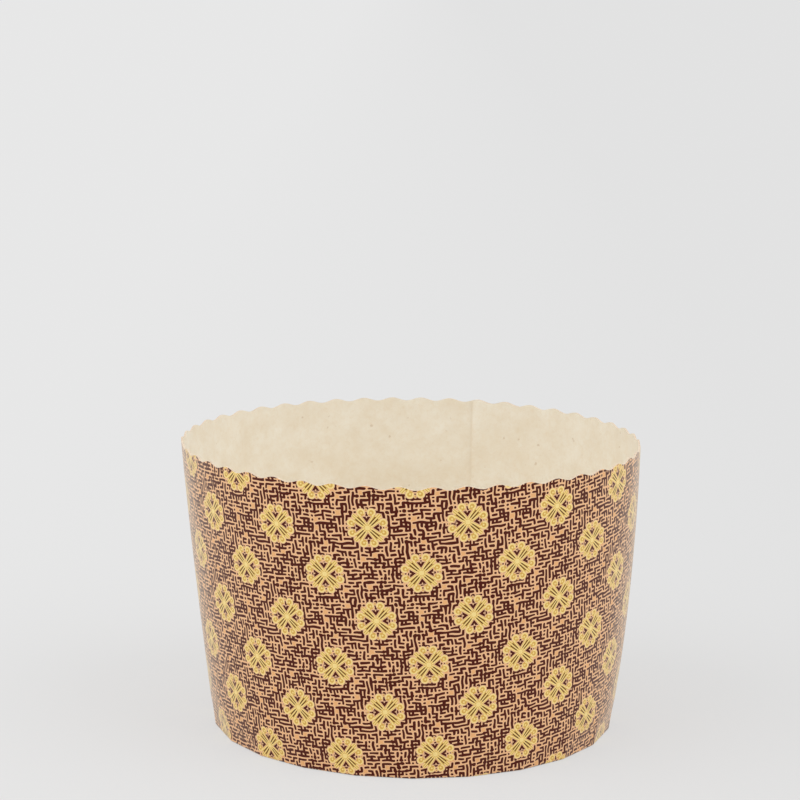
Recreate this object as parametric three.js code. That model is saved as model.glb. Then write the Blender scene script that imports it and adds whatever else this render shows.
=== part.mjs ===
// Paper baking cup for one cake: a conical side wall wrapped from one strip of printed paper,
// glued in a lap at the back, with a wave-cut rim and a lower margin cut into tabs and folded in,
// and a plain paper disc lying on the tabs. Millimetres, +Z up. The front of the cup faces -Y.
// The origin is on the table, under the middle of the rim.
import * as THREE from 'three';
import { mergeVertices } from 'three/addons/utils/BufferGeometryUtils.js';

// Driving dimensions of the side wall. FOLD_BEND is the inner radius of the creased fold to the tabs.
const RIM_DIAMETER = 70;
const BASE_DIAMETER = 61.4;
const HEIGHT = 44;
const WALL_PAPER = 0.3;
const FOLD_BEND = 0.15;

// The rim is cut in shallow waves. One wave's tip stands at this angle from the front towards +X.
const SCALLOP_COUNT = 46;
const SCALLOP_DEPTH = 0.5;
const SCALLOP_BEARING = 5.22;
const RIM_BAND = 2;

// The lower margin is notched into tabs. Each tab folds on a straight line, so the base edge has facets.
const SCALLOPS_PER_TAB = 2;
const TAB_LENGTH = 7;
const NOTCH_ROOT = 0.6;
const FACET_HEIGHT = 5;

// The glued lap: its width, where its outer cut edge lies, counted from the front towards +X,
// how far past it the paper takes to come back to the round, and where it starts above the base.
const LAP_WIDTH = 8;
const LAP_BEARING = 150;
const LAP_EASE = 6;
const LAP_START = 1.2;
const CUT_EDGE_WIDTH = 0.1;

// The filled paper has taken a slight swell, more on its +X side, and the base has moved to +X.
const SWELL = 0.25;
const SIDE_SWELL = 0.55;
const BASE_SHIFT = 0.65;

// The base disc lies on the tabs, clear of the rounded fold.
const DISC_PAPER = 0.3;
const DISC_CLEARANCE = 0.15;

// How finely the round and the section are divided.
const STATIONS_PER_SCALLOP = 6;
const WALL_ROWS = 3;
const FOLD_ROWS = 3;

const TAB_COUNT = SCALLOP_COUNT / SCALLOPS_PER_TAB;
const STATIONS = SCALLOP_COUNT * STATIONS_PER_SCALLOP;
const STATION_STEP = (2 * Math.PI) / STATIONS;
const STATIONS_PER_TAB = SCALLOPS_PER_TAB * STATIONS_PER_SCALLOP;
const RIM_RADIUS = RIM_DIAMETER / 2;
const BASE_RADIUS = BASE_DIAMETER / 2;
const FOLD_RADIUS = FOLD_BEND + WALL_PAPER;
const TAPER = Math.atan2(RIM_RADIUS - BASE_RADIUS, HEIGHT);

// The fold's arc touches the table and the cone; this is the radius of the ring of its centres.
const FOLD_CENTRE = BASE_RADIUS - (FOLD_RADIUS * (1 - Math.sin(TAPER))) / Math.cos(TAPER);
// A straight fold line between two corners passes this share nearer to the axis than its corners do.
const FACET_SAG = 1 - Math.cos(Math.PI / TAB_COUNT);

// The lap runs from the station of its outer cut edge to that of its inner one.
const LAP_FIRST = Math.round(THREE.MathUtils.degToRad(LAP_BEARING) / STATION_STEP);
const LAP_LAST = LAP_FIRST + Math.round(LAP_WIDTH / RIM_RADIUS / STATION_STEP);

// One face of the sheet in section, from the rim down the cone, round the fold and in to a tab's tip.
// The sheet's inner face is the same line, moved in by the paper's thickness.
function sheetFace(inset) {
  const along = new THREE.Vector2(Math.sin(TAPER), Math.cos(TAPER));
  const inward = new THREE.Vector2(-Math.cos(TAPER), Math.sin(TAPER));
  const foot = new THREE.Vector2(BASE_RADIUS, 0).addScaledVector(inward, inset);
  const onCone = (height) => foot.clone().addScaledVector(along, (height - foot.y) / along.y);

  const points = [onCone(HEIGHT), onCone(HEIGHT - RIM_BAND)];
  for (let row = 1; row <= WALL_ROWS; row += 1) {
    points.push(onCone(THREE.MathUtils.lerp(HEIGHT - RIM_BAND, FACET_HEIGHT, row / WALL_ROWS)));
  }
  const bend = FOLD_RADIUS - inset;
  const fold = new THREE.EllipseCurve(FOLD_CENTRE, FOLD_RADIUS, bend, bend, -TAPER, -Math.PI / 2, true);
  points.push(...fold.getPoints(FOLD_ROWS));
  points.push(new THREE.Vector2(FOLD_CENTRE - TAB_LENGTH, inset));
  return points;
}

// The angle of a station from the front. The station after a cut edge stands close behind it.
function stationAngle(station) {
  const afterCut = station === LAP_FIRST + 1 || station === LAP_LAST + 1;
  if (afterCut) {
    return (station - 1) * STATION_STEP + CUT_EDGE_WIDTH / RIM_RADIUS;
  }
  return station * STATION_STEP;
}

// The rim's wave, from -1 in a valley to 1 on a tip.
function scallopWave(station) {
  const fromTip = station * STATION_STEP - THREE.MathUtils.degToRad(SCALLOP_BEARING);
  return Math.cos(SCALLOP_COUNT * fromTip);
}

// How far the paper stands out at the lap, in thicknesses. The outer end of the strip passes over the
// inner end, so it stands out one thickness, and past the inner cut edge it comes back to the round.
function lapLift(station, isOuterFace) {
  if (station <= LAP_FIRST) {
    return 0;
  }
  if (station <= LAP_LAST) {
    return isOuterFace ? 1 : 0;
  }
  const past = (stationAngle(station) - stationAngle(LAP_LAST + 1)) * RIM_RADIUS;
  return 1 - THREE.MathUtils.smoothstep(past, 0, LAP_EASE);
}

// Moves one point of the plain turned section to its place on the real, slightly uneven cup.
function placeOnCup(row, station) {
  const angle = stationAngle(station);
  let radius = row.point.x;
  let height = row.point.y;

  if (row.isRim) {
    const drop = (SCALLOP_DEPTH / 2) * (1 - scallopWave(station));
    height -= drop;
    radius -= drop * Math.tan(TAPER);
  }

  const tabStation = station % STATIONS_PER_TAB;
  if (row.isTabTip && tabStation === 0) {
    radius = FOLD_CENTRE - NOTCH_ROOT;
  }
  const fromTabMiddle = (tabStation - STATIONS_PER_TAB / 2) * STATION_STEP;
  const facet = 1 - (1 - FACET_SAG) / Math.cos(fromTabMiddle);
  radius *= 1 - facet * (1 - THREE.MathUtils.smoothstep(height, FOLD_RADIUS, FACET_HEIGHT));

  const lapShare = THREE.MathUtils.smoothstep(height, LAP_START, FACET_HEIGHT);
  radius += WALL_PAPER * lapLift(station, row.isOuterFace) * lapShare;

  const rise = height / HEIGHT;
  const side = Math.max(Math.sin(angle), 0);
  radius += 4 * rise * (1 - rise) * (SWELL + SIDE_SWELL * side * side);

  return new THREE.Vector3(
    radius * Math.sin(angle) + BASE_SHIFT * (1 - rise),
    -radius * Math.cos(angle),
    height,
  );
}

// The rows of one face, from the rim to the tabs' tips.
function faceRows(inset, isOuterFace) {
  const points = sheetFace(inset);
  const last = points.length - 1;
  return points.map((point, index) => ({
    point,
    isOuterFace,
    isRim: index === 0,
    isTabTip: index === last,
  }));
}

// The side wall: the sheet's section turned about the axis, then each point moved to its real place.
function sideWall() {
  const innerRows = faceRows(WALL_PAPER, false);
  const outerRows = faceRows(0, true);
  const rows = [...innerRows, ...outerRows.reverse(), innerRows[0]];

  const turned = new THREE.LatheGeometry(rows.map((row) => row.point), STATIONS);
  const place = turned.getAttribute('position');
  for (let station = 0; station <= STATIONS; station += 1) {
    rows.forEach((row, index) => {
      const point = placeOnCup(row, station % STATIONS);
      place.setXYZ(station * rows.length + index, point.x, point.y, point.z);
    });
  }
  return closedSolid(turned);
}

// The base disc: flat, with its edge inside the facets of the fold.
function baseDisc() {
  const radius = FOLD_CENTRE * (1 - FACET_SAG) - DISC_CLEARANCE;
  const disc = new THREE.CylinderGeometry(radius, radius, DISC_PAPER, STATIONS / 2);
  disc.rotateX(Math.PI / 2);
  return closedSolid(disc);
}

// Drops what the solid doesn't need and joins the vertices that its faces share.
function closedSolid(geometry) {
  geometry.deleteAttribute('normal');
  geometry.deleteAttribute('uv');
  const solid = mergeVertices(geometry, 1e-3);
  solid.computeVertexNormals();
  return solid;
}

const printedPaper = new THREE.MeshStandardMaterial({ color: 0xb98a5e, roughness: 0.55, metalness: 0 });
const plainPaper = new THREE.MeshStandardMaterial({ color: 0xe6d3b4, roughness: 0.8, metalness: 0 });

const wall = new THREE.Mesh(sideWall(), printedPaper);
wall.name = 'side_wall';

const disc = new THREE.Mesh(baseDisc(), plainPaper);
disc.name = 'base_disc';
disc.position.set(BASE_SHIFT, 0, WALL_PAPER + DISC_PAPER / 2);

const bakingCup = new THREE.Group();
bakingCup.name = 'paper_baking_cup';
bakingCup.add(wall, disc);

export default bakingCup;
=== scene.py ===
import math

import bpy
import numpy as np
from mathutils import Matrix, Vector


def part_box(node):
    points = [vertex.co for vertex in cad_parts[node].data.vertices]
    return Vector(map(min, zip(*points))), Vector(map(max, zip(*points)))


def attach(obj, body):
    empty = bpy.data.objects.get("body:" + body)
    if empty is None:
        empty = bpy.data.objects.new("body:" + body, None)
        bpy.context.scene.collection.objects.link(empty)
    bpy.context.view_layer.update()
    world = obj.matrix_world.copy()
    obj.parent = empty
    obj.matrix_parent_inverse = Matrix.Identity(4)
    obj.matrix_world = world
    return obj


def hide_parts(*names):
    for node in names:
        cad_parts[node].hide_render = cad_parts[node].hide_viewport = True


bl_info = {
    "name": "Paper Baking Cup",
    "version": (1, 0, 0),
    "blender": (4, 5, 0),
    "location": "3D View > Sidebar > Baking Cup",
    "description": "Makes the paper wall, the base disc and the studio of a round baking cup",
    "category": "Add Mesh",
}

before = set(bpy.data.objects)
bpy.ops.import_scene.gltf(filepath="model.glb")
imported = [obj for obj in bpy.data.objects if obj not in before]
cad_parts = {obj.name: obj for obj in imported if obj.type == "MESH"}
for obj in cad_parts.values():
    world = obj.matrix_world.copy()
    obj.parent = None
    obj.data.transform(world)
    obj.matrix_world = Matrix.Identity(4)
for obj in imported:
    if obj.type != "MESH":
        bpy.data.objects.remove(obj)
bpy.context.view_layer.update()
WALL_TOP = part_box("side_wall")[1].z
DISC_LOW, DISC_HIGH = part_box("base_disc")

MM = 0.001


# Settings that a user may change

def number(name, description, default, **more):
    """A number, with its limits or its unit."""
    return bpy.props.FloatProperty(name=name, description=description, default=default, **more)


def length(name, description, default):
    """A length in metres, shown in the scene's own unit."""
    return number(name, description, default, precision=5, subtype="DISTANCE", unit="LENGTH")


def rotation(name, description, default):
    """An angle in radians, shown in degrees."""
    return number(name, description, default, subtype="ANGLE", unit="ROTATION")


def colour(name, description, default):
    """A colour, given as sRGB from 0 to 255 and kept as Blender's linear colour."""
    return bpy.props.FloatVectorProperty(
        name=name, description=description, default=linear(default),
        size=3, min=0, max=1, subtype="COLOR",
    )


def linear(srgb):
    """Linear light of an sRGB colour from 0 to 255."""
    value = np.asarray(srgb, float) / 255
    return tuple(np.where(value <= 0.04045, value / 12.92, ((value + 0.055) / 1.055) ** 2.4))


class CupShapeSettings(bpy.types.PropertyGroup):
    """Sizes of the cup's paper parts."""

    rim_diameter: length("Rim diameter", "Across the outside of the rim", 70 * MM)
    base_diameter: length("Base diameter", "Across the outside, where the cone meets the table", 61.4 * MM)
    height: length("Height", "From the table to the rim's wave tips", WALL_TOP)
    wall_paper: length("Wall paper", "Thickness of the side wall's paper", 0.3 * MM)
    fold_radius: length("Fold radius", "Outer radius of the creased fold between wall and tabs", 0.45 * MM)
    wave_count: bpy.props.IntProperty(
        name="Waves", description="Waves round the rim", default=46, min=3
    )
    wave_depth: length("Wave depth", "From a wave's tip to its valley", 0.5 * MM)
    wave_bearing: rotation("Wave bearing", "Angle of a wave's tip from the front", math.radians(5.22))
    tab_count: bpy.props.IntProperty(
        name="Tabs", description="Tabs folded in under the base", default=23, min=3
    )
    tab_length: length("Tab length", "From the fold to a tab's tip", 7 * MM)
    notch_root: length("Notch root", "How far inside the fold a notch ends", 0.6 * MM)
    notch_gap: length("Notch gap", "Half the opening of a notch at the tabs' tips", 0.5 * MM)
    facet_height: length("Facet height", "Height at which the folds' facets have faded out", 5 * MM)
    lap_bearing: rotation(
        "Lap bearing", "Angle of the lap's outer cut edge from the front towards +X", math.radians(150)
    )
    lap_width: length("Lap width", "How far the strip's ends lie on each other", 8 * MM)
    lap_ease: length("Lap ease", "How far past the lap the paper comes back to the round", 6 * MM)
    swell: length("Swell", "How far the wall bellies out all round", 0.25 * MM)
    side_swell: length("Side swell", "How much more it bellies out on the +X side", 0.55 * MM)
    base_shift: length("Base shift", "How far the base has moved to +X", 0.65 * MM)
    unevenness: length("Unevenness", "Usual size of the wall's hand-made unevenness", 0.09 * MM)
    disc_sag: length("Disc sag", "How far the base disc sinks inside the ring of tabs", 0.12 * MM)


class CupPrintSettings(bpy.types.PropertyGroup):
    """Layout and inks of the printed ornament."""

    repeat_width: length("Repeat width", "Width of the ornament's repeat at the base", 13.155 * MM)
    repeat_height: length("Repeat height", "Height of the ornament's repeat", 13.871 * MM)
    medallion_x: length("Medallion x", "Place of one medallion across the print", 73.37 * MM)
    medallion_y: length("Medallion y", "Place of one medallion up the print", 1.17 * MM)
    fan: number(
        "Fan", "How far the print's rows are bent: near 0 for straight rows round the cup",
        0.03133, min=0.001, max=0.2, precision=5,
    )
    sheet_turn: rotation("Sheet turn", "Turn of the print on the strip", -0.0712)
    cells: bpy.props.IntProperty(
        name="Cells", description="Fret cells in one repeat", default=24, min=4
    )
    stroke: length("Stroke", "Half the width of a fret stroke", 0.18 * MM)
    ground: colour("Ground", "Printed ground in the open places", (242, 184, 126))
    ground_light: colour("Light ground", "Printed ground beside a stroke", (254, 206, 162))
    fret_ink: colour("Fret ink", "Dark ink of the fret", (78, 15, 0))
    gold_ink: colour("Gold ink", "Fill of the medallions", (222, 178, 90))
    gold_line: colour("Gold line", "Light lines of the medallions", (255, 228, 150))
    slit_ink: colour("Slit ink", "Shadow lines of the medallions", (70, 26, 2))


class CupPaperSettings(bpy.types.PropertyGroup):
    """The unprinted paper."""

    inside: colour("Inside", "Greaseproof inner side of the wall", (250, 244, 230))
    disc: colour("Disc", "Plain paper of the base disc", (249, 242, 227))
    cut_edge: colour("Cut edge", "Paper where it is cut", (240, 224, 202))


class CupStudioSettings(bpy.types.PropertyGroup):
    """Floor, lights and camera."""

    # The floor's two colours paint light on the left and shade on the right, as if the light came from the
    # left.
    floor: colour("Floor", "Pale floor and backdrop, on the left", (231, 231, 231))
    floor_right_painted_shade: colour("Floor right", "Pale floor and backdrop, on the right", (226, 226, 226))
    shadow: number("Shadow", "How much of the real shadow the floor shows", 0.3, min=0, max=1)
    sky: number("Sky", "Strength of the light from all sides", 0.70, min=0, max=2)
    sun: number("Sun", "Strength of both soft lamps together", 1.45, min=0, max=5)
    distance: length("Camera distance", "From the camera to the cup's middle", 401.63 * MM)
    elevation: rotation(
        "Camera elevation", "Angle of the camera above the cup's middle", math.radians(14.339)
    )
    roll: rotation("Camera roll", "How far the picture is turned clockwise", math.radians(0.581))
    focal: number("Focal length", "Focal length on a 36 mm sensor", 117.0, unit="CAMERA")


# Numbers that vary over a surface, as shader nodes

# Nodes are set out in columns, so that the tree can be read.
NODES_IN_COLUMN = 10
COLUMN_WIDTH = 190
NODE_HEIGHT = 170

# Width of a printed shape's soft edge, in millimetres.
SOFT_EDGE = 0.045


class Field:
    """A number that varies over a surface: a node's output. Arithmetic on it adds Math nodes."""

    def __init__(self, tree, socket):
        self.tree = tree
        self.socket = socket

    def __add__(self, other):
        return calc("ADD", self, other)

    def __radd__(self, other):
        return calc("ADD", other, self)

    def __sub__(self, other):
        return calc("SUBTRACT", self, other)

    def __rsub__(self, other):
        return calc("SUBTRACT", other, self)

    def __mul__(self, other):
        return calc("MULTIPLY", self, other)

    def __rmul__(self, other):
        return calc("MULTIPLY", other, self)

    def __truediv__(self, other):
        return calc("DIVIDE", self, other)


def add_node(tree, kind, **settings):
    """Adds a node at the next place and sets its properties."""
    node = tree.nodes.new(kind)
    column, row = divmod(len(tree.nodes), NODES_IN_COLUMN)
    node.location = (COLUMN_WIDTH * column, -NODE_HEIGHT * row)
    for name, value in settings.items():
        setattr(node, name, value)
    return node


def set_inputs(node, values):
    """Sets sockets of a node, by their names, to plain numbers or colours."""
    for name, value in values.items():
        node.inputs[name].default_value = value


def feed(tree, socket, value):
    """Links a field to a socket, or sets the socket to a plain value."""
    if isinstance(value, Field):
        tree.links.new(value.socket, socket)
    else:
        socket.default_value = value


def calc(operation, *values):
    """One Math node on fields and numbers."""
    tree = next(value.tree for value in values if isinstance(value, Field))
    node = add_node(tree, "ShaderNodeMath", operation=operation)
    for socket, value in zip(node.inputs, values):
        feed(tree, socket, value)
    return Field(tree, node.outputs[0])


def least(first, *others):
    """The smallest of several fields: the union of shapes given by their distances."""
    for other in others:
        first = calc("MINIMUM", first, other)
    return first


def most(first, *others):
    """The largest of several fields: the overlap of shapes given by their distances."""
    for other in others:
        first = calc("MAXIMUM", first, other)
    return first


def combined(tree, x, y, z):
    """The vector of three fields or numbers."""
    node = add_node(tree, "ShaderNodeCombineXYZ")
    for socket, value in zip(node.inputs, (x, y, z)):
        feed(tree, socket, value)
    return node.outputs[0]


def parted(tree, kind, socket):
    """The three fields of a vector or a colour, by a separating node of the given kind."""
    node = add_node(tree, kind)
    tree.links.new(socket, node.inputs[0])
    return [Field(tree, output) for output in node.outputs]


def span(x, y):
    """The length of a flat vector, of which at least one part is a field."""
    tree = next(value.tree for value in (x, y) if isinstance(value, Field))
    node = add_node(tree, "ShaderNodeVectorMath", operation="LENGTH")
    tree.links.new(combined(tree, x, y, 0.0), node.inputs[0])
    return Field(tree, node.outputs["Value"])


def ramp(field, start, end, low=0.0, high=1.0):
    """A value that goes from low at start to high at end, and stays there beyond."""
    node = add_node(field.tree, "ShaderNodeMapRange", clamp=True)
    for socket, value in zip(node.inputs, (field, start, end, low, high)):
        feed(field.tree, socket, value)
    return Field(field.tree, node.outputs[0])


def inside(distance, soft=SOFT_EDGE):
    """1 inside a shape and 0 outside it, over a soft edge, from the distance to its outline."""
    return ramp(distance, -soft / 2, soft / 2, 1.0, 0.0)


def rounded_bar(along, across, offset, start, end, half_width):
    """Distance to a bar with round ends that runs along one axis from start to end."""
    beyond = most(calc("ABSOLUTE", along - (start + end) / 2) - (end - start) / 2, 0.0)
    return span(beyond, across - offset) - half_width


def random_cell(tree, x, y, draw):
    """Three random numbers that are the same all over one cell of a lattice, for a numbered draw."""
    noise = add_node(tree, "ShaderNodeTexWhiteNoise", noise_dimensions="3D")
    tree.links.new(combined(tree, x, y, draw), noise.inputs["Vector"])
    return parted(tree, "ShaderNodeSeparateColor", noise.outputs["Color"])


def noise_node(tree, coordinates, scale, detail=2.0, rough=0.5, distortion=0.0):
    """A node of smooth noise on coordinates in metres, with the given number of grains per metre."""
    node = add_node(tree, "ShaderNodeTexNoise", noise_dimensions="3D")
    set_inputs(node, {"Scale": scale, "Detail": detail, "Roughness": rough, "Distortion": distortion})
    tree.links.new(coordinates, node.inputs["Vector"])
    return node


def soft_noise(tree, coordinates, **grain):
    """Smooth noise from 0 to 1."""
    return Field(tree, noise_node(tree, coordinates, **grain).outputs["Fac"])


def mottle(tree, coordinates, low, high, **grain):
    """Smooth noise stretched so that it is 0 up to low and 1 from high on."""
    return ramp(soft_noise(tree, coordinates, **grain), low, high)


def blend_colour(tree, factor, first, second):
    """Mixes two colours by a field from 0, the first, to 1, the second."""
    node = add_node(tree, "ShaderNodeMix", data_type="RGBA")
    feed(tree, node.inputs["Factor"], factor)
    for socket, value in ((node.inputs[6], first), (node.inputs[7], second)):
        if isinstance(value, bpy.types.NodeSocket):
            tree.links.new(value, socket)
        else:
            socket.default_value = (*value, 1.0)
    return node.outputs[2]


def new_material(name):
    """An empty node material with a Principled shader, and its tree and shader."""
    material = bpy.data.materials.new(name)
    material.use_nodes = True
    tree = material.node_tree
    tree.nodes.clear()
    output = add_node(tree, "ShaderNodeOutputMaterial")
    shader = add_node(tree, "ShaderNodeBsdfPrincipled")
    tree.links.new(shader.outputs[0], output.inputs["Surface"])
    return material, tree, shader


# The printed ornament

# The fret: the chance of a stroke that runs the way its block favours and of one that runs the other way,
# how many cells a block is wide, and the shares of lattice points with a dot and with a wider blob.
CHANCE_FAVOURED = 0.58
CHANCE_OTHER = 0.27
BLOCK_CELLS = 2.4
DOT_SHARE = 0.85
BLOB_SHARE = 0.09
BLOB_EXTRA = 0.1

# A shape that is left out is moved this far out of reach.
FAR = 9.0

# Numbers that set the two random draws on the lattice apart.
STROKE_DRAW = 3.0
BLOCK_DRAW = 11.0

# A medallion is given in design units, in a square design whose repeat is this long. One octant lies
# between an axis and an arm on the diagonal.
DESIGN_REPEAT = 13.5
DIAGONAL = 0.7071

# Bars of one octant: the offset across, the start and the end along, and half the width. The side line
# leans as the arm's side does, the slit leans a little, and the tie runs along the axis.
MIDDLE_LINE = (0.0, 0.4, 2.62, 0.07)
SIDE_LINE = (0.20, 0.42, 2.05, 0.085)
TAIL_LINE = (0.27, 2.0, 2.5, 0.06)
SLIT = (0.13, 0.72, 1.9, 0.07)
ARM_END = (0.0, 1.8, 2.3, 0.36)
TIE = (0.0, 2.45, 2.6, 0.10)
SIDE_LEAN = 0.183
SLIT_LEAN = 0.045

# The arm and the round middle.
ARM_HALF = 0.36
ARM_REACH = 2.1
CORE_RADIUS = 0.36

# The curl beside an arm: its centre and radius, the radius and half width of its line, where the line
# opens, and its eye.
CURL_CENTRE = (2.20, 0.72)
CURL_RADIUS = 0.54
CURL_LINE = 0.43
CURL_LINE_HALF = 0.10
OPENING = (2.0, 0.74)
EYE_CENTRE = (2.13, 0.66)
EYE_RADIUS = 0.14

# The dark heart between two arms, by its reach and its distances from the arm and the curl, and its speck.
HEART_REACH = 1.60
HEART_FROM_ARM = 0.44
HEART_FROM_CURL = 0.60
SPECK_PLACE = 1.50
SPECK_STRETCH = 0.7
SPECK_RADIUS = 0.085

# The lattice's drift and its grains per metre, the clear ring round a medallion and its soft edge, and how
# far from a stroke the ground comes back from light to full.
DRIFT = 0.4
DRIFT_GRAINS = 820.0
CLEAR_RING = 0.08
CLEAR_EDGE = 0.06
GROUND_FADE = 0.2


def fret_distance(tree, x, y, settings):
    """Distance in millimetres to the nearest stroke of a broken fret.

    The sheet is a lattice of square cells. From each lattice point a stroke may run half-way to its right,
    left, upper and lower neighbour. Each such link between two points has one random number that decides
    whether it is drawn. Blocks of cells favour upright or level strokes. Most points carry a dot, which
    shows where no stroke meets it, and a few carry a wider blob.
    """
    pitch_x = settings.repeat_width / MM / settings.cells
    pitch_y = settings.repeat_height / MM / settings.cells
    cells_x = x / pitch_x
    cells_y = y / pitch_y
    column = calc("FLOOR", cells_x + 0.5)
    row = calc("FLOOR", cells_y + 0.5)
    right = (cells_x - column) * pitch_x
    up = (cells_y - row) * pitch_y

    def draws(step_x, step_y):
        """The random numbers of a lattice point, and 1 where its block favours upright strokes."""
        place_x = calc("FLOORED_MODULO", column + step_x, settings.cells)
        place_y = calc("FLOORED_MODULO", row + step_y, settings.cells)
        own = random_cell(tree, place_x, place_y, STROKE_DRAW)
        block_x = calc("FLOOR", place_x / BLOCK_CELLS)
        block_y = calc("FLOOR", place_y / BLOCK_CELLS)
        block = random_cell(tree, block_x, block_y, BLOCK_DRAW)
        return own, calc("GREATER_THAN", block[0], 0.5)

    def left_out(chance, limit):
        """The distance that takes a shape away where its random number is above the limit."""
        return FAR * calc("GREATER_THAN", chance, limit)

    here, here_upright = draws(0, 0)
    left, left_upright = draws(-1, 0)
    below, below_upright = draws(0, -1)
    gain = CHANCE_FAVOURED - CHANCE_OTHER
    from_point = span(right, up)
    return least(
        span(least(right, 0.0), up) + left_out(here[0], CHANCE_FAVOURED - gain * here_upright),
        span(most(right, 0.0), up) + left_out(left[0], CHANCE_FAVOURED - gain * left_upright),
        span(right, least(up, 0.0)) + left_out(here[1], CHANCE_OTHER + gain * here_upright),
        span(right, most(up, 0.0)) + left_out(below[1], CHANCE_OTHER + gain * below_upright),
        from_point + left_out(here[2], DOT_SHARE),
        from_point - BLOB_EXTRA + left_out(here[2], BLOB_SHARE),
    ) - settings.stroke / MM


def medallion_shapes(x, y, settings):
    """Distances in design units to the shapes of the nearest medallion.

    Medallions stand at the corners and the middle of each repeat, so the nearer of the two is used. One is
    alike in its eight octants: a round middle and four arms on the diagonals, with light lines and curls.
    """
    half = DESIGN_REPEAT / 2
    design_x = (x - settings.medallion_x / MM) * (DESIGN_REPEAT * MM / settings.repeat_width)
    design_y = (y - settings.medallion_y / MM) * (DESIGN_REPEAT * MM / settings.repeat_height)
    corner_x = calc("ABSOLUTE", calc("WRAP", design_x, half, -half))
    corner_y = calc("ABSOLUTE", calc("WRAP", design_y, half, -half))
    middle_x = half - corner_x
    middle_y = half - corner_y
    to_middle = calc("LESS_THAN", span(middle_x, middle_y), span(corner_x, corner_y))
    near_x = corner_x + to_middle * (middle_x - corner_x)
    near_y = corner_y + to_middle * (middle_y - corner_y)

    longer = most(near_x, near_y)
    shorter = least(near_x, near_y)
    along = (longer + shorter) * DIAGONAL
    across = (longer - shorter) * DIAGONAL
    from_side = across - SIDE_LEAN * along
    from_curl = span(longer - CURL_CENTRE[0], shorter - CURL_CENTRE[1])

    core = span(longer, shorter) - CORE_RADIUS
    arm = most(from_side - ARM_HALF, along - ARM_REACH)
    arm_end = rounded_bar(along, across, *ARM_END)
    body = least(from_curl - CURL_RADIUS, arm, arm_end, core, rounded_bar(longer, shorter, *TIE))

    opening = least(OPENING[0] - longer, OPENING[1] - shorter)
    lines = least(
        most(calc("ABSOLUTE", from_curl - CURL_LINE) - CURL_LINE_HALF, opening),
        span(longer - EYE_CENTRE[0], shorter - EYE_CENTRE[1]) - EYE_RADIUS,
        rounded_bar(along, across, *MIDDLE_LINE),
        rounded_bar(along, from_side, *SIDE_LINE),
        rounded_bar(along, across, *TAIL_LINE),
        core,
    )
    slit = rounded_bar(along, across - SLIT_LEAN * along, *SLIT)
    heart = most(longer - HEART_REACH, HEART_FROM_ARM - from_side, HEART_FROM_CURL - from_curl)
    speck = span((longer - SPECK_PLACE) * SPECK_STRETCH, shorter) - SPECK_RADIUS
    return {"body": body, "lines": lines, "slit": slit, "heart": heart, "speck": speck}


def print_fields(tree, settings):
    """The ornament's colour and its shares of fret ink and of gold, on the fanned map of the sheet."""
    sheet = add_node(tree, "ShaderNodeUVMap", uv_map="Sheet").outputs[0]
    x, y, _ = (part / MM for part in parted(tree, "ShaderNodeSeparateXYZ", sheet))
    drift = noise_node(tree, sheet, scale=DRIFT_GRAINS, detail=0.0).outputs["Color"]
    drift_x, drift_y, _ = parted(tree, "ShaderNodeSeparateColor", drift)
    drifted_x = x + (drift_x - 0.5) * DRIFT
    drifted_y = y + (drift_y - 0.5) * DRIFT

    fret = fret_distance(tree, drifted_x, drifted_y, settings)
    shapes = medallion_shapes(x, y, settings)
    clear = 1.0 - inside(least(shapes["body"], shapes["heart"]) - CLEAR_RING, CLEAR_EDGE)
    fret_ink = inside(fret) * clear
    gold = inside(shapes["body"])

    ornament = settings.ground
    for factor, ink in (
        (ramp(fret, 0.0, GROUND_FADE, 1.0, 0.0), settings.ground_light),
        (fret_ink, settings.fret_ink),
        (gold, settings.gold_ink),
        (inside(shapes["lines"]), settings.gold_line),
        (inside(shapes["slit"]), settings.slit_ink),
        (inside(shapes["heart"]), settings.fret_ink),
        (inside(shapes["speck"]), settings.ground_light),
    ):
        ornament = blend_colour(tree, factor, ornament, ink)
    return ornament, fret_ink, gold


# Paper finishes

# Tones within the papers, as sRGB: thin print, fibres of the wall's inside and of the disc, flecks, and
# stains of a cut edge.
THIN_PRINT = (214, 178, 142)
INSIDE_FIBRES = (234, 218, 190)
DISC_FIBRES = (232, 215, 186)
FLECK = (196, 168, 128)
STAIN = (196, 158, 120)


def paper_relief(tree, shader, grain, cockle):
    """Paper relief as a bump: fine grain of matted fibres over slow cockling, both in metres.

    It hands back the object's coordinates and the fine grain, which the finishes use as well.
    """
    coordinates = add_node(tree, "ShaderNodeTexCoord").outputs["Object"]
    fine = soft_noise(tree, coordinates, scale=3800.0, detail=3.0, rough=0.6)
    slow = soft_noise(tree, coordinates, scale=170.0, detail=1.0, rough=0.4)
    bump = add_node(tree, "ShaderNodeBump")
    set_inputs(bump, {"Strength": 1.0, "Distance": 1.0})
    feed(tree, bump.inputs["Height"], fine * grain + slow * cockle)
    tree.links.new(bump.outputs[0], shader.inputs["Normal"])
    return coordinates, fine


def set_roughness(tree, shader, fine, level, spread, change=0.0):
    """Roughness about a level, spread by the fine grain, with a change added."""
    feed(tree, shader.inputs["Roughness"], level + (fine - 0.5) * spread + change)


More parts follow.
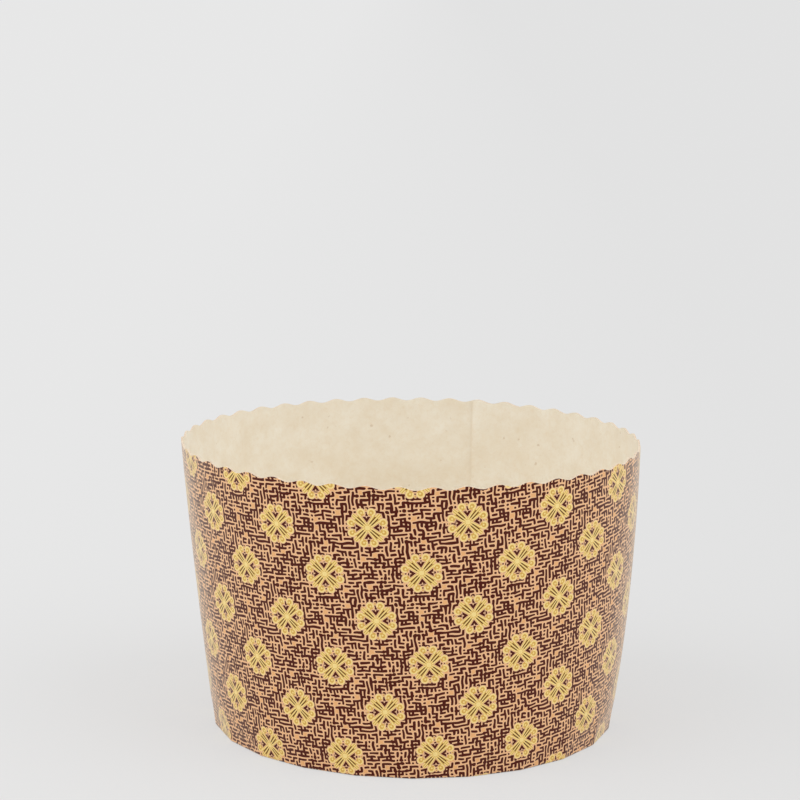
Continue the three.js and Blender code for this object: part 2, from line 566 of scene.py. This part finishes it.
def printed_paper(print_settings):
    """Satin paper with the ornament printed on it."""
    material, tree, shader = new_material("printed_satin_paper")
    coordinates, fine = paper_relief(tree, shader, grain=0.006 * MM, cockle=0.06 * MM)
    ornament, fret_ink, gold = print_fields(tree, print_settings)
    thin = mottle(tree, coordinates, 0.3, 0.7, scale=420.0, detail=3.0)
    ornament = blend_colour(tree, thin * 0.015, ornament, linear(THIN_PRINT))
    tree.links.new(ornament, shader.inputs["Base Color"])
    set_roughness(tree, shader, fine, level=0.56, spread=0.16, change=gold * -0.09 - fret_ink * 0.05)
    set_inputs(shader, {
        "Specular IOR Level": 0.08,
        "Coat Weight": 0.2,
        "Coat IOR": 1.25,
        "Coat Roughness": 0.34,
        "Sheen Weight": 1.0,
        "Sheen Roughness": 0.36,
        "Sheen Tint": (1.0, 0.90, 0.78, 1.0),
    })
    return material


def plain_paper(name, tone, fibre_tone, grain, level):
    """Unprinted greaseproof paper: mottled fibres, faint flecks and a dull finish."""
    material, tree, shader = new_material(name)
    coordinates, fine = paper_relief(tree, shader, grain, cockle=0.04 * MM)
    cloud = mottle(tree, coordinates, 0.32, 0.68, scale=240.0, detail=4.0, rough=0.62)
    fibre = mottle(tree, coordinates, 0.45, 0.7, scale=1500.0, detail=5.0, rough=0.7, distortion=0.6)
    fleck = mottle(tree, coordinates, 0.74, 0.80, scale=900.0, detail=1.0)
    paper = blend_colour(tree, cloud * 0.5, tone, fibre_tone)
    paper = blend_colour(tree, fibre * 0.35, paper, fibre_tone)
    paper = blend_colour(tree, fleck * 0.4, paper, linear(FLECK))
    tree.links.new(paper, shader.inputs["Base Color"])
    set_roughness(tree, shader, fine, level, spread=0.2, change=(cloud - 0.5) * 0.06)
    set_inputs(shader, {"Sheen Weight": 0.08})
    return material


def cut_edge_paper(tone):
    """The open fibres of a cut edge: paler than the print, rough and furred."""
    material, tree, shader = new_material("cut_paper_edge")
    coordinates, fine = paper_relief(tree, shader, grain=0.012 * MM, cockle=0.0)
    stain = mottle(tree, coordinates, 0.35, 0.7, scale=2600.0, detail=3.0, rough=0.6)
    tree.links.new(blend_colour(tree, stain * 0.5, tone, linear(STAIN)), shader.inputs["Base Color"])
    set_roughness(tree, shader, fine, level=0.85, spread=0.2)
    return material


# Surfaces worked out as whole arrays

def smoothstep(value, low, high):
    """0 below low, 1 above high, and 3t² - 2t³ between them."""
    t = np.clip((value - low) / (high - low), 0, 1)
    return t * t * (3 - 2 * t)


# The lap starts this far above the fold and is at full thickness a little higher. Its inner layer stands a
# hair back from the outer one, and goes back over a stretch before it passes under the strip's outer end.
LAP_LOW = 0.2 * MM
LAP_FULL = 0.8 * MM
LAP_PLAY = 0.02 * MM
PLAY_BAND = (-1.5 * MM, -0.01 * MM)

# The unevenness is a slow wave, as its waves round the cup and their phase, and its turn over the height and
# that one's phase, and faster ones, as strength, waves round the cup, turn over the height and phase. It
# runs over about this range, and grows between two heights.
SLOW_WAVE = (3, 1.1, 2.2, 0.4)
UNEVEN_WAVES = ((0.7, 7, 4, 0), (0.5, 11, -5, 2), (0.35, 23, 9, 0))
UNEVEN_RANGE = 2.6
UNEVEN_BAND = (1 * MM, 12 * MM)


class Cone:
    """The side wall's section: a cone, a rounded fold that touches the table, and a flat margin."""

    def __init__(self, shape):
        self.shape = shape
        self.base_radius = shape.base_diameter / 2
        self.taper = math.atan2(shape.rim_diameter / 2 - self.base_radius, shape.height)
        fold = shape.fold_radius
        self.cone_start = fold * (1 - math.sin(self.taper)) / math.cos(self.taper)
        self.fold_centre = self.base_radius - self.cone_start
        self.flat_start = self.cone_start - fold * (math.pi / 2 - self.taper)
        self.tip = self.flat_start - shape.tab_length
        self.root = self.flat_start - shape.notch_root
        self.top = (shape.height - shape.wall_paper * math.sin(self.taper)) / math.cos(self.taper)
        self.half_tab = math.pi / shape.tab_count

    def section(self, distance, inset):
        """Radius and height of a point of the sheet, from its distance up the outer face.

        The distance is 0 where the cone's line meets the table. Above the fold the point runs up the cone's
        line; in the fold it turns about the fold's centre; below it, it runs flat towards the axis. The inner
        face is the same line moved in by inset, at right angles to the sheet.
        """
        fold = self.shape.fold_radius
        sine, cosine = math.sin(self.taper), math.cos(self.taper)
        turn = -self.taper - np.clip((self.cone_start - distance) / fold, 0, math.pi / 2 - self.taper)
        fold_radius = self.fold_centre + (fold - inset) * np.cos(turn)
        fold_height = fold + (fold - inset) * np.sin(turn)
        up = np.maximum(distance - self.cone_start, 0)
        flat = np.maximum(self.flat_start - distance, 0)
        return fold_radius + up * sine - flat, fold_height + up * cosine

    def place(self, angle, distance, inset, lift, sunk):
        """Radius and height of points, for arrays of the angle from the front and the distance up the sheet.

        The rim's wave has been taken off the distance already. Low down, the radius shrinks between two
        notches as the cosine law of a straight fold asks. The lap's lift adds its share of a thickness from
        just above the fold, and sunk takes a hair off at the lap. The swell adds a parabola over the height,
        and the unevenness is taken off.
        """
        shape = self.shape
        radius, height = self.section(distance, inset)
        tabs = angle / (2 * self.half_tab)
        from_middle = (tabs - np.floor(tabs) - 0.5) * 2 * self.half_tab
        facet = 1 - math.cos(self.half_tab) / np.cos(from_middle)
        radius = radius * (1 - facet * (1 - smoothstep(height, shape.fold_radius, shape.facet_height)))
        above_fold = distance - self.cone_start
        radius = radius + shape.wall_paper * lift * smoothstep(above_fold, LAP_LOW, LAP_FULL)
        radius = radius - LAP_PLAY * sunk * (above_fold > LAP_LOW / 2)
        rise = height / shape.height
        side = np.maximum(np.sin(angle), 0)
        radius = radius + 4 * rise * (1 - rise) * (shape.swell + shape.side_swell * side ** 2)
        waves, phase, turn, turn_phase = SLOW_WAVE
        uneven = np.sin(waves * angle + phase) * np.cos(turn * rise + turn_phase)
        for strength, waves, turn, phase in UNEVEN_WAVES:
            uneven = uneven + strength * np.sin(waves * angle + turn * rise + phase)
        growth = smoothstep(height, *UNEVEN_BAND)
        radius = radius - shape.unevenness * (UNEVEN_RANGE / 2 + uneven) / UNEVEN_RANGE * growth
        return radius, height

    def point(self, angle, radius, height):
        """Cartesian point of the angle from the front (-Y) towards +X, with the base's sideways shift."""
        across = radius * np.sin(angle) + self.shape.base_shift * (1 - height / self.shape.height)
        return np.stack([across, -radius * np.cos(angle), height], axis=-1)


def weld(points, quads, tolerance=1e-7):
    """Gives points that coincide one number: the points are rounded and the doubles are dropped."""
    keys = np.round(points / tolerance).astype(np.int64)
    _, first, inverse = np.unique(keys, axis=0, return_index=True, return_inverse=True)
    return points[first], inverse.reshape(-1)[quads]


def free_sides(quads):
    """The sides of quads that no other quad shares, as cell number, side number, and the side's two points.

    A side is shared where the same two points occur in the other order in a neighbour.
    """
    end = np.roll(quads, -1, axis=1)
    size = int(quads.max()) + 1
    forward = quads.astype(np.int64) * size + end
    backward = end.astype(np.int64) * size + quads
    cell, side = np.nonzero(~np.isin(forward, backward))
    return cell, side, quads[cell, side], end[cell, side]


# Edges bent by more than this are drawn sharp.
SHARP_ANGLE = math.radians(35)


def build_object(name, points, faces, maps, material_numbers, materials):
    """A mesh object at the origin. Each map holds one pair of coordinates per corner of a face."""
    mesh = bpy.data.meshes.new(name)
    mesh.from_pydata(points.tolist(), [], faces)
    for map_name, pairs in maps.items():
        layer = mesh.uv_layers.new(name=map_name)
        layer.uv.foreach_set("vector", np.ascontiguousarray(pairs, dtype=np.float32).ravel())
    for material in materials:
        mesh.materials.append(material)
    numbers = np.ascontiguousarray(material_numbers, dtype=np.int32)
    mesh.polygons.foreach_set("material_index", numbers)
    mesh.polygons.foreach_set("use_smooth", np.ones(len(faces), dtype=bool))
    mesh.update()
    mesh.validate()
    mesh.set_sharp_from_angle(angle=SHARP_ANGLE)
    piece = bpy.data.objects.new(name, mesh)
    bpy.context.scene.collection.objects.link(piece)
    return piece


# The side wall

# The strip's grid: its columns in a tab; its rows in the tabs, the fold and the wall; and the rows above
# the fold and below the rim, by their distances from it.
COLUMNS_IN_TAB = 36
TAB_ROWS = 6
FOLD_ROWS = 7
WALL_ROWS = 19
LOW_ROWS = np.array([LAP_LOW, 0.7 * MM, 1.4 * MM, 2.3 * MM, 3.2 * MM, 4.2 * MM])
WALL_ROWS_END = 2.2 * MM
RIM_ROWS = np.array([1.4, 0.7, 0.25, 0.0]) * MM

# The rim's wave fades out over this band. A tab's tip is cut back at its corners by this much, with this
# power of the way from its middle. Rows closer than the play are the same row.
WAVE_BAND = 3.5 * MM
TAB_CORNER = 0.9 * MM
CORNER_POWER = 10
ROW_PLAY = 1e-6

# The square texture. The outer face has four tiles, which start at these two places either way. The inner
# face has two bands of one width, and the cut edges have a corner beyond the tiles.
TILE_STARTS = np.array([0.003, 0.435])
TILE_WIDTH = 0.425
TILE_CUTS = np.radians([-135, -45, 45])
BAND_START, BAND_LOW, BAND_WIDTH = 0.004, 0.872, 0.122
BESIDE_LENGTH, ABOVE_LENGTH = 0.748, 0.833
BAND_PLAY = 1.02
EDGE_START, EDGE_LENGTH, EDGE_WIDTH = 0.88, 0.11, 0.05


def strip_columns(cone):
    """Angles of the strip's columns from its outer end, behind the cup, round the front to its inner end."""
    shape = cone.shape
    step = 2 * cone.half_tab / COLUMNS_IN_TAB
    first = round((shape.lap_bearing - 2 * math.pi) / step)
    last = round((shape.lap_bearing + shape.lap_width / (shape.rim_diameter / 2)) / step)
    return np.arange(first, last + 1) * step


def strip_rows(cone):
    """Distances of the strip's rows up the sheet, from the tabs' tips to the rim."""
    tab = np.linspace(cone.tip, cone.root, TAB_ROWS)
    fold = np.linspace(cone.flat_start, cone.cone_start, FOLD_ROWS)
    low = cone.cone_start + LOW_ROWS
    wall = np.linspace(low[-1], cone.top - WALL_ROWS_END, WALL_ROWS)[1:]
    return np.concatenate([tab, fold, low, wall, cone.top - RIM_ROWS])


def wall_arrays(shape, print_settings):
    """Points, quads, maps and material numbers of the side wall.

    The strip is a grid of columns round the cup and rows up the sheet. Each cell has its own left and right
    column, so the notches can open between two tabs; everything else is welded. The inner face is the same
    grid, one thickness in, and quads close every free side: the rim, the notches, the tips and the strip's
    two ends. Under the lap the strip has no tabs.
    """
    cone = Cone(shape)
    columns = strip_columns(cone)
    rows = strip_rows(cone)
    edges = np.stack([columns[:-1], columns[1:]], axis=-1)
    angle = np.broadcast_to(edges[None], (len(rows), *edges.shape))
    middle = edges.mean(axis=1)
    tab_middle = ((np.floor(middle / (2 * cone.half_tab)) + 0.5) * 2 * cone.half_tab)[None, :, None]
    off_middle = angle - tab_middle

    wave = np.cos(shape.wave_count * (angle - shape.wave_bearing))
    drop = shape.wave_depth / 2 * (1 - wave)
    base = rows[:, None, None]
    distance = base - drop * smoothstep(base, cone.top - WAVE_BAND, cone.top)
    corner = np.abs(off_middle / cone.half_tab) ** CORNER_POWER
    distance = distance + TAB_CORNER * corner * (base < cone.tip + ROW_PLAY)

    ring = cone.fold_centre - np.maximum(cone.flat_start - distance, 0)
    share_open = np.clip((cone.root - distance) / (cone.root - cone.tip), 0, 1)
    gap = shape.notch_gap * share_open / ring
    squeezed = tab_middle + off_middle * (1 - gap / cone.half_tab)

    lap_start = columns[0] + 2 * math.pi
    past = (angle - columns[0]) * shape.rim_diameter / 2 - shape.lap_width
    lift = 1 - smoothstep(past, 0, shape.lap_ease)
    sunk = smoothstep((angle - lap_start) * shape.rim_diameter / 2, *PLAY_BAND)
    faces = []
    for inset in (0.0, shape.wall_paper):
        radius, height = cone.place(squeezed, distance, inset, lift, sunk)
        faces.append(cone.point(squeezed, radius, height).reshape(-1, 3))

    index = np.arange(angle.size).reshape(angle.shape)
    quads = np.stack([index[:-1, :, 0], index[:-1, :, 1], index[1:, :, 1], index[1:, :, 0]], axis=-1)
    row_middle = (rows[:-1] + rows[1:]) / 2
    under_lap = (middle > lap_start)[None, :] & (row_middle < cone.cone_start + LAP_LOW)[:, None]
    quads = quads[~under_lap]

    apex = cone.base_radius / print_settings.fan
    sheet_radius = apex + distance
    on_tab = tab_middle * print_settings.fan + ring * np.sin(squeezed - tab_middle) / sheet_radius
    bearing = np.where(base < cone.flat_start + ROW_PLAY, on_tab, angle * print_settings.fan)
    bearing = bearing - print_settings.sheet_turn
    sheet = np.stack([np.sin(bearing), np.cos(bearing)], axis=-1) * sheet_radius[..., None]
    sheet = (sheet - np.array([0, apex])).reshape(-1, 2)

    both, outer_quads = weld(np.concatenate(faces, axis=1), quads)
    points = np.concatenate([both[:, :3], both[:, 3:]])
    cell, side, side_start, side_end = free_sides(outer_quads)
    inner_quads = outer_quads[:, ::-1] + len(both)
    edge_quads = np.stack([side_end, side_start, side_start + len(both), side_end + len(both)], axis=-1)
    side_first = quads[cell, side]
    side_second = np.roll(quads, -1, axis=1)[cell, side]
    edge_corners = np.stack([side_second, side_first, side_first, side_second], axis=1)

    corner_sheet = sheet[quads]
    bake_outer, bake_inner, bake_edge = bake_places(
        cone, columns, middle, rows, angle, quads, edge_corners
    )
    maps = {
        "Sheet": np.concatenate([corner_sheet, corner_sheet[:, ::-1], sheet[edge_corners]]),
        "OFBake": np.concatenate([bake_outer, bake_inner[:, ::-1], bake_edge]),
    }
    all_quads = np.concatenate([outer_quads, inner_quads, edge_quads])
    numbers = np.repeat([0, 1, 2], [len(outer_quads), len(inner_quads), len(edge_quads)])
    return points, all_quads, maps, numbers


def bake_places(cone, columns, middle, rows, angle, quads, edge_corners):
    """Places of the corners on one square texture.

    The outer face takes most of it: four pieces of the strip, true to scale and cut so that the front is
    whole. The inner face fills a band above and one beside them, and the cut edges the corner that is left.
    """
    radius = cone.base_radius + (cone.top / 2) * math.sin(cone.taper)
    first, last = columns[0], columns[-1]
    tall = rows[-1] - rows[0]
    flat_angle = angle.reshape(-1)
    flat_up = np.broadcast_to(rows[:, None, None], angle.shape).reshape(-1) - rows[0]
    cuts = np.array([first, *TILE_CUTS, last])
    cell_middle = middle[(quads[:, 0] // 2) % len(middle)]
    tile = np.clip(np.searchsorted(cuts, cell_middle) - 1, 0, 3)
    scale = TILE_WIDTH / max(np.diff(cuts).max() * radius, tall)
    across = (flat_angle[quads] - cuts[tile][:, None]) * radius
    across = TILE_STARTS[tile % 2][:, None] + across * scale
    up = TILE_STARTS[tile // 2][:, None] + flat_up[quads] * scale

    half = (last - first) / 2 * BAND_PLAY
    band = BAND_LOW + flat_up[quads] / tall * BAND_WIDTH
    beside = BAND_START + (flat_angle[quads] - first) / half * BESIDE_LENGTH
    above = BAND_START + flat_angle[quads] / half * ABOVE_LENGTH
    first_half = (cell_middle < 0)[:, None, None]
    inner = np.where(first_half, np.stack([band, beside], axis=-1), np.stack([above, band], axis=-1))

    edge_along = EDGE_START + EDGE_LENGTH * (flat_angle[edge_corners] - first) / (last - first)
    edge_up = EDGE_START + EDGE_WIDTH * (flat_up[edge_corners] / tall + np.array([0, 0, 1, 1]))
    return np.stack([across, up], axis=-1), inner, np.stack([edge_along, edge_up], axis=-1)


class CUP_OT_make_wall(bpy.types.Operator):
    """Make the printed side wall: one strip with a wave-cut rim, a glued lap and folded-in tabs"""

    bl_idname = "cup.make_wall"
    bl_label = "Make Side Wall"
    bl_options = {"REGISTER", "UNDO"}

    def execute(self, context):
        scene = context.scene
        papers = scene.cup_paper
        points, quads, maps, numbers = wall_arrays(scene.cup_shape, scene.cup_print)
        materials = [
            printed_paper(scene.cup_print),
            plain_paper(
                "greaseproof_inside", papers.inside, linear(INSIDE_FIBRES), grain=0.007 * MM, level=0.62
            ),
            cut_edge_paper(papers.cut_edge),
        ]
        wall = build_object("cup_wall", points, quads.tolist(), maps, numbers, materials)
        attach(wall, "root")
        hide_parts("side_wall")
        return {"FINISHED"}


# The base disc

# Its spokes in a tab and its rings, as shares of its radius.
SPOKES_IN_TAB = 12
RINGS = np.concatenate([np.linspace(0.02, 0.72, 15), np.linspace(0.75, 0.82, 8), np.linspace(0.85, 1.0, 8)])

# The disc sinks between these distances inside the tabs' tips, and is slightly rippled there. Each notch
# shows as a groove over the last share of the way to it, from the tips to these distances from the edge.
SINK_BAND = (2.2 * MM, 0.3 * MM)
RIPPLE = 0.03 * MM
RIPPLE_WAVES = 3
RIPPLE_PHASE = 0.7
RIPPLE_TURN = 5
GROOVE_DEPTH = 0.05 * MM
GROOVE_SHARE = 0.86
GROOVE_EASE = 0.5 * MM
GROOVE_END = (3 * MM, 0.5 * MM)

# The underside stands this far off the tabs, and the disc's edge is rounded by this much.
UNDER_GAP = 0.004 * MM
EDGE_ROUND = 0.06 * MM


def disc_arrays(shape, low, high):
    """Points, quads and the two caps of the base disc.

    A grid of rings and spokes. The disc lies flat on the tabs, sinks a little inside the ring of their tips,
    and shows each notch as a shallow groove. A cap fills the tiny innermost ring on each side.
    """
    cone = Cone(shape)
    centre = np.array([(low.x + high.x) / 2, (low.y + high.y) / 2])
    radius = (high.x - low.x) / 2
    tips = cone.fold_centre - shape.tab_length
    spokes = shape.tab_count * SPOKES_IN_TAB
    angle = np.arange(spokes) / spokes * 2 * math.pi
    ring = RINGS[:, None] * radius
    sink = 1 - smoothstep(ring, tips - SINK_BAND[0], tips - SINK_BAND[1])
    notch = np.abs(((angle / (2 * cone.half_tab)) % 1) - 0.5) * 2
    groove = smoothstep(notch, GROOVE_SHARE, 1.0)[None]
    groove = groove * smoothstep(ring, tips - GROOVE_EASE, tips + GROOVE_EASE)
    groove = groove * (1 - smoothstep(ring, radius - GROOVE_END[0], radius - GROOVE_END[1]))
    ripple = RIPPLE * np.sin(RIPPLE_WAVES * angle + RIPPLE_PHASE)[None] * np.sin(ring / radius * RIPPLE_TURN)
    sunk = -shape.disc_sag * sink - GROOVE_DEPTH * groove + ripple * sink
    circle = np.stack([np.sin(angle), -np.cos(angle)], axis=-1)
    flat = centre + ring[..., None] * circle[None]
    sides = []
    for height, rounding in (
        (high.z + sunk, -EDGE_ROUND),
        (low.z + UNDER_GAP + np.where(sink > 0, sunk, 0), EDGE_ROUND),
    ):
        height[-1] += rounding
        sides.append(np.concatenate([flat, height[..., None]], axis=-1).reshape(-1, 3))

    index = np.arange(ring.size * spokes).reshape(ring.size, spokes)
    count = index.size
    following = np.roll(index, -1, axis=1)
    top_quads = np.stack([index[:-1], index[1:], following[1:], following[:-1]], axis=-1).reshape(-1, 4)
    side = np.stack([index[-1], index[-1] + count, following[-1] + count, following[-1]], axis=-1)
    caps = [index[0].tolist(), (index[0][::-1] + count).tolist()]
    return np.concatenate(sides), np.concatenate([top_quads, top_quads[:, ::-1] + count, side]), caps


class CUP_OT_make_base(bpy.types.Operator):
    """Make the plain paper disc that lies on the tabs"""

    bl_idname = "cup.make_base"
    bl_label = "Make Base Disc"
    bl_options = {"REGISTER", "UNDO"}

    def execute(self, context):
        scene = context.scene
        points, quads, caps = disc_arrays(scene.cup_shape, DISC_LOW, DISC_HIGH)
        faces = quads.tolist() + caps
        paper = plain_paper(
            "plain_disc_paper", scene.cup_paper.disc, linear(DISC_FIBRES), grain=0.008 * MM, level=0.66
        )
        base = build_object("cup_base", points, faces, {}, np.zeros(len(faces)), [paper])
        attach(base, "root")
        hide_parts("base_disc")
        return {"FINISHED"}


# Floor, lights and camera

# The floor reaches this far, and its colour goes from the lighter left to the darker right, painted light and
# painted shade, over this distance either side.
FLOOR_REACH = 14.0
PAINTED_SHADE_BAND = 0.09

# The lamps: name, share of the sun's strength and turn in degrees. They have one tilt and one soft angle.
LAMPS = (("soft_key", 0.5, -66), ("soft_fill", 0.5, 66))
LAMP_TILT = math.radians(48)
LAMP_ANGLE = math.radians(50)

# The photograph's width, the pixel on which the cup's middle falls, and that middle. The camera's sensor is
# in millimetres, and the nearest and farthest distances that it sees are in metres.
PICTURE_WIDTH = 800
AIM_PIXEL = (409.47, 579.02)
AIM_POINT = Vector((0, 0, 21.875 * MM))
SENSOR_WIDTH = 36
CLIP = (0.02, 60)
AIM_PASSES = 30


def mix_shaders(tree, factor, first, second, output):
    """Mixes two shader nodes by a socket, the second at 1, into the output node."""
    mix = add_node(tree, "ShaderNodeMixShader")
    for socket, source in zip(mix.inputs, (factor, first.outputs[0], second.outputs[0])):
        tree.links.new(source, socket)
    tree.links.new(mix.outputs[0], output.inputs["Surface"])


def floor_material(settings):
    """A floor that shows the camera its colour with part of the real shadow, and is dull to light. Its colour
    is painted lighter on the left and darker on the right: painted light and painted shade.
    """
    material, tree, shader = new_material("studio_floor")
    place = add_node(tree, "ShaderNodeTexCoord").outputs["Object"]
    # Painted shade: the floor's colour darkens from left to right, as if the light came from the left.
    across = ramp(parted(tree, "ShaderNodeSeparateXYZ", place)[0], -PAINTED_SHADE_BAND, PAINTED_SHADE_BAND)
    tone = blend_colour(tree, across, settings.floor, settings.floor_right_painted_shade)
    tree.links.new(tone, shader.inputs["Base Color"])
    set_inputs(shader, {"Roughness": 0.95, "Specular IOR Level": 0.0})
    path = add_node(tree, "ShaderNodeLightPath")
    glow = add_node(tree, "ShaderNodeEmission")
    tree.links.new(tone, glow.inputs["Color"])
    seen = most(*(Field(tree, path.outputs[name]) for name in ("Is Camera Ray", "Is Glossy Ray")))
    output = next(node for node in tree.nodes if node.type == "OUTPUT_MATERIAL")
    mix_shaders(tree, (seen * (1.0 - settings.shadow)).socket, shader, glow, output)
    return material


def camera_matrix(settings, focal_pixels):
    """The camera's place and turn.

    The camera stands at the given distance and elevation in front of the cup's middle. Without roll it looks
    so that the middle falls on the aim pixel, counted from the picture's centre; the roll then turns the
    picture about that centre. Each pass corrects the heading and the pitch by what is still missing.
    """
    elevation = settings.elevation
    place = AIM_POINT + settings.distance * Vector((0, -math.cos(elevation), math.sin(elevation)))
    pixel_x, pixel_y = (pixel - PICTURE_WIDTH / 2 for pixel in AIM_PIXEL)
    cosine, sine = math.cos(settings.roll), math.sin(settings.roll)
    target_x = cosine * pixel_x + sine * pixel_y
    target_y = -sine * pixel_x + cosine * pixel_y
    to_cup = AIM_POINT - place
    heading, pitch = 0.0, -elevation
    for _ in range(AIM_PASSES):
        forward = Vector((
            math.sin(heading) * math.cos(pitch),
            math.cos(heading) * math.cos(pitch),
            math.sin(pitch),
        ))
        right = forward.cross(Vector((0, 0, 1))).normalized()
        up = right.cross(forward)
        depth = to_cup.dot(forward)
        got_x = focal_pixels * to_cup.dot(right) / depth
        got_y = -focal_pixels * to_cup.dot(up) / depth
        heading += (got_x - target_x) / focal_pixels
        pitch -= (got_y - target_y) / focal_pixels
    turned_right = cosine * right + sine * up
    turned_up = cosine * up - sine * right
    rows = [(turned_right[i], turned_up[i], -forward[i], place[i]) for i in range(3)]
    return Matrix((*rows, (0, 0, 0, 1)))


class CUP_OT_make_studio(bpy.types.Operator):
    """Make the pale floor, the soft light and the camera at the photograph's angle"""

    bl_idname = "cup.make_studio"
    bl_label = "Make Studio"
    bl_options = {"REGISTER", "UNDO"}

    def execute(self, context):
        scene = context.scene
        settings = scene.cup_studio

        corners = np.array([(-1, -1, 0), (1, -1, 0), (1, 1, 0), (-1, 1, 0)]) * FLOOR_REACH
        paint = floor_material(settings)
        floor = build_object("studio_floor", corners, [(0, 1, 2, 3)], {}, [0], [paint])

        world = bpy.data.worlds.new("studio_world")
        world.use_nodes = True
        tree = world.node_tree
        tree.nodes.clear()
        output = add_node(tree, "ShaderNodeOutputWorld")
        around = add_node(tree, "ShaderNodeBackground")
        set_inputs(around, {"Color": (1, 1, 1, 1), "Strength": settings.sky})
        seen = add_node(tree, "ShaderNodeBackground")
        set_inputs(seen, {"Color": (*settings.floor, 1.0)})
        path = add_node(tree, "ShaderNodeLightPath")
        mix_shaders(tree, path.outputs["Is Camera Ray"], around, seen, output)
        scene.world = world

        for name, part, side in LAMPS:
            sun = bpy.data.lights.new(name, "SUN")
            sun.energy = settings.sun * part
            sun.angle = LAMP_ANGLE
            lamp = bpy.data.objects.new(name, sun)
            lamp.rotation_euler = (LAMP_TILT, 0, math.radians(side))
            scene.collection.objects.link(lamp)

        lens = bpy.data.cameras.new("photo_camera")
        lens.lens = settings.focal
        lens.sensor_width = SENSOR_WIDTH
        lens.sensor_fit = "HORIZONTAL"
        lens.clip_start, lens.clip_end = CLIP
        camera = bpy.data.objects.new("photo_camera", lens)
        camera.matrix_world = camera_matrix(settings, settings.focal / SENSOR_WIDTH * PICTURE_WIDTH)
        scene.collection.objects.link(camera)
        scene.camera = camera
        scene.view_settings.view_transform = "Standard"
        return {"FINISHED"}


class CUP_PT_sidebar(bpy.types.Panel):
    """Lists the cup's settings and its makers"""

    bl_label = "Baking Cup"
    bl_idname = "CUP_PT_sidebar"
    bl_space_type = "VIEW_3D"
    bl_region_type = "UI"
    bl_category = "Baking Cup"

    def draw(self, context):
        layout = self.layout
        for maker in MAKERS:
            layout.operator(maker.bl_idname)
        for group in GROUPS:
            box = layout.box()
            box.label(text=group.removeprefix("cup_").title())
            settings = getattr(context.scene, group)
            for name in settings.__annotations__:
                box.prop(settings, name)


GROUPS = {
    "cup_shape": CupShapeSettings,
    "cup_print": CupPrintSettings,
    "cup_paper": CupPaperSettings,
    "cup_studio": CupStudioSettings,
}
MAKERS = (CUP_OT_make_wall, CUP_OT_make_base, CUP_OT_make_studio)
CLASSES = (*GROUPS.values(), *MAKERS, CUP_PT_sidebar)


def register():
    for cls in CLASSES:
        bpy.utils.register_class(cls)
    for name, group in GROUPS.items():
        setattr(bpy.types.Scene, name, bpy.props.PointerProperty(type=group))


def unregister():
    for name in GROUPS:
        delattr(bpy.types.Scene, name)
    for cls in reversed(CLASSES):
        bpy.utils.unregister_class(cls)


def main():
    register()
    bpy.ops.cup.make_wall()
    bpy.ops.cup.make_base()
    bpy.ops.cup.make_studio()


if __name__ == "__main__":
    main()
